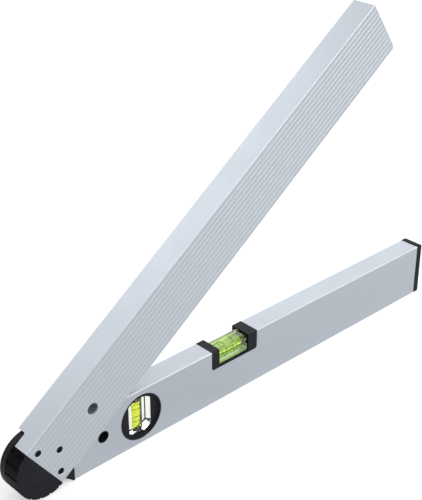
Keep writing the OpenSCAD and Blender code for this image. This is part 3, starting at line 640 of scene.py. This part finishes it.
def vial_filling(name, node, rings, axis, bubble_side):
    """A vial's liquid: a rod that fills the bore, less its bubble.

    A lying vial's bubble is a round-ended rod against its upper side, wider across than it is deep.
    A standing vial's bubble fills its upper end. The bubble's surface faces inwards.
    """
    low, high = (np.array(corner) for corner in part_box(node))
    ring_low, ring_high = (np.array(corner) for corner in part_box(rings))
    axis = np.array(axis, float)
    bore = (ring_high - ring_low)[1] / 2 + LIQUID_OVERLAP
    half = (high - low) @ axis / 2 + LIQUID_OVERLAP
    centre = (low + high) / 2
    side = np.array([0.0, 1.0, 0.0])
    rod = revolved(*rod_profile(half, bore, ROD_CORNER), centre, axis, side)
    if bubble_side is None:
        place = centre + (half - CAPPING_BUBBLE_HALF - 2 * BUBBLE_SKIN) * axis
        profile = rod_profile(CAPPING_BUBBLE_HALF, bore - 2 * BUBBLE_SKIN, CAPPING_BUBBLE_CORNER)
        cavity = revolved(*profile, place, axis, side)
    else:
        up = np.array(bubble_side, float)
        place = centre + (bore - BUBBLE_RADIUS - BUBBLE_SKIN) * up
        cavity = revolved(*capsule_profile(BUBBLE_HALF, BUBBLE_RADIUS), place, axis, up, BUBBLE_WIDTH)
    points, faces = joined(rod, flipped(cavity))
    piece = make_piece(name, points, faces, LIQUID, "base_arm")
    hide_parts(node)


# Level vial: how far the block's upper edges are cut, and how its other edges are rounded
BLOCK_BEVEL = 2.4 * MM
BLOCK_ROUND = 0.2 * MM
BLOCK_ROOM = 0.05 * MM
VIAL_END = 1.5 * MM


def level_block():
    """The level vial's block: a bar with two cut upper edges and a blind bore, clear of its frame.

    Its outline is carried round the bore's axis along a profile: left end, sides, right end, bore.
    """
    low, high = (np.array(corner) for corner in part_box("level_vial_block"))
    ring_low, ring_high = (np.array(corner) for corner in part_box("level_vial_rings"))
    bore = (ring_high - ring_low)[1] / 2
    centre = (low + high) / 2
    centre[2] = (ring_low + ring_high)[2] / 2
    angle = OUTLINE_ANGLES
    half = high[1] - BLOCK_ROOM
    top = high[2] - centre[2]
    bottom = centre[2] - low[2] - BLOCK_ROOM
    cut = (half + top - BLOCK_BEVEL) / math.sqrt(2)
    sides = ((0, half), (2 * QUARTER, half), (QUARTER, top), (-QUARTER, bottom),
             (QUARTER / 2, cut), (1.5 * QUARTER, cut))
    reach = outline(angle, sides)
    left, right = low[0] - centre[0] + BLOCK_ROOM, high[0] - centre[0] - BLOCK_ROOM
    start = rounded_corner((0, left), (-1, 0), (0, 1), BLOCK_ROUND)
    end = rounded_corner((0, right), (0, -1), (-1, 0), BLOCK_ROUND)
    rows = [(0 * angle, left)]
    rows += [(reach + r, x) for r, x in np.concatenate([start, end])]
    bored = bore + 0 * angle
    rows += [(bored, right), (bored, left + VIAL_END), (0 * angle, left + VIAL_END)]
    points, faces = carried_rows(rows, centre, (1, 0, 0), (0, 1, 0))
    piece = make_piece("level_block", points, faces, BACKED_ACRYLIC, "base_arm")
    weigh_normals(piece)
    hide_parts("level_vial_block")


# End cap: how far its skirt reaches back along the tube, how far it stands proud of the sides and
# top, how far of the underside (below nought lies within the tube's wall), its corner and its wall
CAP_SKIRT = 1.8 * MM
CAP_PROUD = 0.12 * MM
CAP_FLUSH = -0.02 * MM
CAP_ROUND = 0.7 * MM
CAP_WALL = 2.0 * MM


def end_cap():
    """The base arm's end cap: a plate with a short skirt, whose wall lies partly in the tube's own.

    Its rectangular outline is carried round the tube's axis along a profile: inside, skirt, end face.
    """
    low, high = (np.array(corner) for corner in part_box("base_profile"))
    cap_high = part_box("end_cap")[1]
    centre = (low + high) / 2
    centre[0] = high[0]
    half_width, half_height = ((high - low) / 2)[1:]
    sides = ((0, half_width + CAP_PROUD), (2 * QUARTER, half_width + CAP_PROUD),
             (QUARTER, half_height + CAP_PROUD), (-QUARTER, half_height + CAP_FLUSH))
    angle = OUTLINE_ANGLES
    reach = outline(angle, sides)
    inside = reach - CAP_WALL
    end = cap_high.x - high[0]
    rounding = rounded_corner((0, end), (0, -1), (-1, 0), CAP_ROUND)
    rows = [(0 * angle, 0.0), (inside, 0.0), (inside, -CAP_SKIRT), (reach, -CAP_SKIRT)]
    rows += [(reach + r, x) for r, x in rounding] + [(0 * angle, end)]
    points, faces = carried_rows(rows, centre, (1, 0, 0), (0, 1, 0))
    piece = make_piece("end_cap_moulded", points, faces, BLACK, "base_arm")
    weigh_normals(piece)
    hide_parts("end_cap")


# Plumb bezels: rim, recess and its slope, round edges, and the ledge round the vial's block
BEZEL_RIM = 1.5 * MM
BEZEL_SLOPE = 0.8 * MM
BEZEL_DEPTH = 1.8 * MM
BEZEL_ROUND = 0.3 * MM
BEZEL_FINE_ROUND = 0.2 * MM
BLOCK_LIP = 0.6 * MM
BLOCK_INSET = 0.4 * MM


def bezel_piece(side, node):
    """A round bezel with a stepped recess and a window whose left and right sides are straight.

    It is a looped profile carried round the vial: outside, rim, recess, ledge, window, pocket.
    """
    low, high = (np.array(corner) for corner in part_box(node))
    block_low, block_high = (np.array(corner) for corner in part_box("plumb_vial_block"))
    centre = (low + high) / 2
    centre[1] = 0.0
    radius = (high - low)[0] / 2
    face = max(-low[1], high[1])
    inner = min(abs(low[1]), abs(high[1]))
    floor = face - BEZEL_DEPTH
    lip = radius - BEZEL_RIM
    block_half, block_radius = ((block_high - block_low) / 2)[[0, 2]]
    angle = OUTLINE_ANGLES
    window = outline(angle, two_sides(block_half - BLOCK_INSET), block_radius - BLOCK_LIP)
    pocket = outline(angle, two_sides(block_half + BLOCK_ROOM), block_radius + BLOCK_ROOM)
    round_rows = np.concatenate([
        [[radius, inner]],
        rounded_corner((radius, face), (0, -1), (-1, 0), BEZEL_ROUND),
        rounded_corner((lip, face), (1, 0), (0, -1), BEZEL_FINE_ROUND),
        rounded_corner((lip - BEZEL_SLOPE, floor), (0.4, 0.92), (-1, 0), BEZEL_FINE_ROUND),
    ])
    edge = rounded_corner((0, floor), (1, 0), (0, -1), BEZEL_FINE_ROUND)
    rows = [(r + 0 * angle, y) for r, y in round_rows] + [(window + r, y) for r, y in edge]
    rows += [(window, block_high[1]), (pocket, block_high[1]), (pocket, inner)]
    points, faces = carried_rows(rows, centre, (0, side, 0), (1, 0, 0))
    piece = make_piece(node + "_moulded", points, faces, BLACK, "base_arm")
    weigh_normals(piece)
    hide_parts(node)


def two_sides(half):
    """Straight sides on the left and right, as outline takes them."""
    return (0.0, half), (math.pi, half)


# Seven bars of a display digit, as (across, up, standing) in half heights, and which digit lights which
BARS = ((0, 2, 0), (1, 1, 1), (1, -1, 1), (0, -2, 0), (-1, -1, 1), (-1, 1, 1), (0, 0, 0))
LIT = {"3": (0, 1, 2, 3, 6), "5": (0, 2, 3, 5, 6)}
# The reading, each digit with its place in digit pitches, and the place of its point
READING = ((1.4, "3"), (0.4, "5"), (-0.8, "3"))
POINT_PLACE = -0.2
DIGIT_HALF = 1.75 * MM
DIGIT_PITCH = 5.6 * MM
DIGIT_SLANT = 0.1
BAR_HALF = 0.36 * MM
BAR_GAP = 0.12 * MM
INK = 0.04 * MM


def plates(outlines, front, depth):
    """Thin plates with the given outlines in X and Z, standing from front back by depth."""
    parts = []
    for shape in outlines:
        count = len(shape)
        face = np.column_stack([shape[:, 0], np.full(count, front), shape[:, 1]])
        back = face - [0, depth, 0]
        points = np.concatenate([face, back])
        index = np.arange(count)
        after = (index + 1) % count
        sides = np.stack([index, after, after + count, index + count], -1).tolist()
        caps = [index[::-1].tolist(), (index + count).tolist()]
        parts.append((points, caps + sides))
    return joined(*parts)


def bar_outline(length, standing):
    """A display bar: a long hexagon of the given half length with pointed ends."""
    ends = np.array([[length, 0], [length - BAR_HALF, BAR_HALF], [BAR_HALF - length, BAR_HALF],
                     [-length, 0], [BAR_HALF - length, -BAR_HALF], [length - BAR_HALF, -BAR_HALF]])
    return ends[:, ::-1] * [1, -1] if standing else ends


def display_digits():
    """The reading on the display: seven-bar digits and a point, seen from the far side.

    A bar is a hexagon moved to its place in the digit, and each point leans aside with its height.
    """
    low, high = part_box("lcd_panel")
    front = high.y + INK
    middle = np.array([(low.x + high.x) / 2, (low.z + high.z) / 2])
    outlines = []
    for place, digit in READING:
        for k in LIT[digit]:
            across, up, standing = BARS[k]
            bar = bar_outline(DIGIT_HALF - BAR_GAP, standing) + np.array([-across, up]) * DIGIT_HALF
            outlines.append(bar + [place * DIGIT_PITCH, 0])
    dot = BAR_HALF * np.array([[1, 1], [-1, 1], [-1, -1], [1, -1]])
    outlines.append(dot + [POINT_PLACE * DIGIT_PITCH, -2 * DIGIT_HALF])
    slanted = [bar + np.outer(bar[:, 1], [-DIGIT_SLANT, 0]) + middle for bar in outlines]
    points, faces = plates(slanted, front, INK)
    piece = make_piece("display_digits", points, faces, SEGMENT, "base_arm")
    piece.data.polygons.foreach_set("use_smooth", np.zeros(len(piece.data.polygons), bool))


def tube(path, radius, steps=8):
    """A round bar along a path in a plane square to Y: at each point a circle stands across the path."""
    count = len(path)
    along = np.gradient(path, axis=0)
    along = along / np.linalg.norm(along, axis=1)[:, None]
    out = np.array([0.0, 1.0, 0.0])
    across = np.cross(along, out)
    angle = np.linspace(0, 2 * math.pi, steps, endpoint=False)
    circle = np.cos(angle)[None, :, None] * across[:, None] + np.sin(angle)[None, :, None] * out
    points = (path[:, None] + radius * circle).reshape(-1, 3)
    here = np.arange(count - 1)[:, None] * steps
    there = here + steps
    cols = np.arange(steps)
    after = (cols + 1) % steps
    walls = np.stack([here + cols, there + cols, there + after, here + after], -1)
    ends = [cols.tolist(), ((count - 1) * steps + cols)[::-1].tolist()]
    return points, walls.reshape(-1, 4).tolist() + ends


# Marks on the buttons: ring and wire, where the ring breaks off and starts again, and, as shares of
# the ring's radius, from where to where the bars reach and how far the two bars lie from the middle
MARK_RADIUS = 1.25 * MM
MARK_WIRE = 0.16 * MM
RING_ENDS = (math.radians(125), math.radians(415))
POWER_BAR = (0.1, 1.15)
HOLD_BAR = (-0.9, 0.9)
HOLD_APART = 0.45


def button_marks():
    """Raised marks on the buttons: a broken ring with a bar for power, and two bars for hold."""
    centre = button_top("power_button")
    angle = np.linspace(*RING_ENDS, 40)
    arc = centre + MARK_RADIUS * np.stack([np.cos(angle), 0 * angle, np.sin(angle)], -1)
    rise = np.linspace(*POWER_BAR, 5)[:, None] * [0, 0, MARK_RADIUS]
    points, faces = joined(tube(arc, MARK_WIRE), tube(centre + rise, MARK_WIRE))
    make_piece("power_mark", points, faces, PRINT, "power_button")
    centre = button_top("hold_button")
    rise = np.linspace(*HOLD_BAR, 5)[:, None] * [0, 0, MARK_RADIUS]
    apart = HOLD_APART * MARK_RADIUS
    points, faces = joined(*(tube(centre + rise + [x, 0, 0], MARK_WIRE) for x in (-apart, apart)))
    make_piece("hold_mark", points, faces, PRINT, "hold_button")


def button_top(node):
    """The middle of a button's outer face."""
    low, high = (np.array(corner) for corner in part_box(node))
    return np.array([(low[0] + high[0]) / 2, high[1], (low[2] + high[2]) / 2])


# Studio

# The floor's half width, how far it lies below the object, how pale it is and how much it glows
FLOOR_HALF = 6.0
FLOOR_DROP = 0.05 * MM
FLOOR_SHADE = 0.8
FLOOR_GLOW = 0.56
# How much the surroundings light, and the place that the lamps face
AMBIENT = 0.12
MIDDLE = (0.0, 0.0, 0.1)
# Each lamp's name, place, size and power
SOFTBOXES = (
    ("top_softbox", (0.0, -0.6, 3.6), 2.4, 25.0),
    ("key_softbox", (0.45, -1.35, 1.5), 1.7, 17.0),
    ("front_softbox", (0.2, -1.75, 0.5), 1.2, 2.5),
    ("side_softbox", (3.2, 0.2, 1.05), 1.6, 20.0),
    ("right_softbox", (1.35, 1.35, 1.0), 1.2, 5.2),
    ("back_softbox", (-0.3, 1.8, 1.5), 1.4, 11.5),
)


def seen_as_white(tree):
    """A value of one for light that the camera, a gloss or a clear piece looks along, else nought."""
    path = tree.nodes.new("ShaderNodeLightPath")
    last = path.outputs["Is Camera Ray"]
    for name in ("Is Glossy Ray", "Is Transmission Ray"):
        larger = tree.nodes.new("ShaderNodeMath")
        larger.operation = "MAXIMUM"
        tree.links.new(last, larger.inputs[0])
        tree.links.new(path.outputs[name], larger.inputs[1])
        last = larger.outputs["Value"]
    return last


def studio_floor():
    """A pale floor that shows as white and keeps the object's shadow."""
    points = FLOOR_HALF * np.array([[-1, -1, 0], [1, -1, 0], [1, 1, 0], [-1, 1, 0]])
    points[:, 2] = -FLOOR_DROP
    mesh = bpy.data.meshes.new("studio_floor")
    mesh.from_pydata(points.tolist(), [], [[0, 1, 2, 3]])
    floor = bpy.data.objects.new("studio_floor", mesh)
    bpy.context.scene.collection.objects.link(floor)
    finish = Finish("studio_floor")
    paper = finish.grain(2 * MM, 2.0)
    tone = finish.blend(paper, (FLOOR_SHADE,) * 3, (FLOOR_SHADE - 0.01,) * 3)
    matt = finish.node("ShaderNodeBsdfDiffuse", {"Color": tone})
    glow = finish.node("ShaderNodeEmission", {"Color": (1.0, 1.0, 1.0, 1.0)})
    strength = finish.maths("MULTIPLY", seen_as_white(finish.tree), FLOOR_GLOW)
    finish.tree.links.new(strength, glow.inputs["Strength"])
    both = finish.node("ShaderNodeAddShader", {0: matt.outputs[0], 1: glow.outputs[0]})
    finish.tree.links.new(both.outputs[0], finish.output.inputs["Surface"])
    mesh.materials.append(finish.material)


def surroundings():
    """A world that shows as white, and lights more softly than it shows."""
    world = bpy.data.worlds.new("studio")
    world.use_nodes = True
    bpy.context.scene.world = world
    tree = world.node_tree
    back = tree.nodes["Background"]
    back.inputs["Color"].default_value = (1.0, 1.0, 1.0, 1.0)
    strength = tree.nodes.new("ShaderNodeMapRange")
    tree.links.new(seen_as_white(tree), strength.inputs["Value"])
    strength.inputs["To Min"].default_value = AMBIENT
    strength.inputs["To Max"].default_value = 1.0
    tree.links.new(strength.outputs["Result"], back.inputs["Strength"])


def softbox(name, place, size, power, target):
    """A square area lamp that faces a point."""
    lamp = bpy.data.lights.new(name, "AREA")
    lamp.size = size
    lamp.energy = power
    box = bpy.data.objects.new(name, lamp)
    bpy.context.scene.collection.objects.link(box)
    box.location = place
    box.rotation_mode = "QUATERNION"
    box.rotation_quaternion = (Vector(target) - Vector(place)).to_track_quat("-Z", "Y")


def studio():
    """Floor, surroundings and the soft lamps, which all face the object."""
    studio_floor()
    surroundings()
    for name, place, size, power in SOFTBOXES:
        softbox(name, place, size, power, MIDDLE)


def camera():
    """The photograph's camera."""
    data = bpy.data.cameras.new("camera")
    data.lens = LENS
    data.sensor_width = SENSOR
    data.clip_start = 0.01
    data.clip_end = 50.0
    made = bpy.data.objects.new("camera", data)
    bpy.context.scene.collection.objects.link(made)
    level = math.cos(VIEW_ELEVATION)
    back = Vector((math.sin(VIEW_AZIMUTH) * level, -math.cos(VIEW_AZIMUTH) * level,
                   math.sin(VIEW_ELEVATION)))
    made.location = HINGE + Vector(VIEW_CENTRE) + VIEW_DISTANCE * back
    made.rotation_mode = "QUATERNION"
    made.rotation_quaternion = (-back).to_track_quat("-Z", "Y")
    bpy.context.scene.camera = made


bpy.context.scene.view_settings.view_transform = "Standard"
camera()
dress_nodes()
vial_filling("level_liquid", "level_vial_liquid", "level_vial_rings", (1, 0, 0), (0, 0, 1))
vial_filling("plumb_liquid", "plumb_vial_liquid", "plumb_vial_rings", (0, 0, 1), None)
level_block()
end_cap()
bezel_piece(-1, "plumb_bezel_near")
bezel_piece(1, "plumb_bezel_far")
display_digits()
button_marks()
studio()
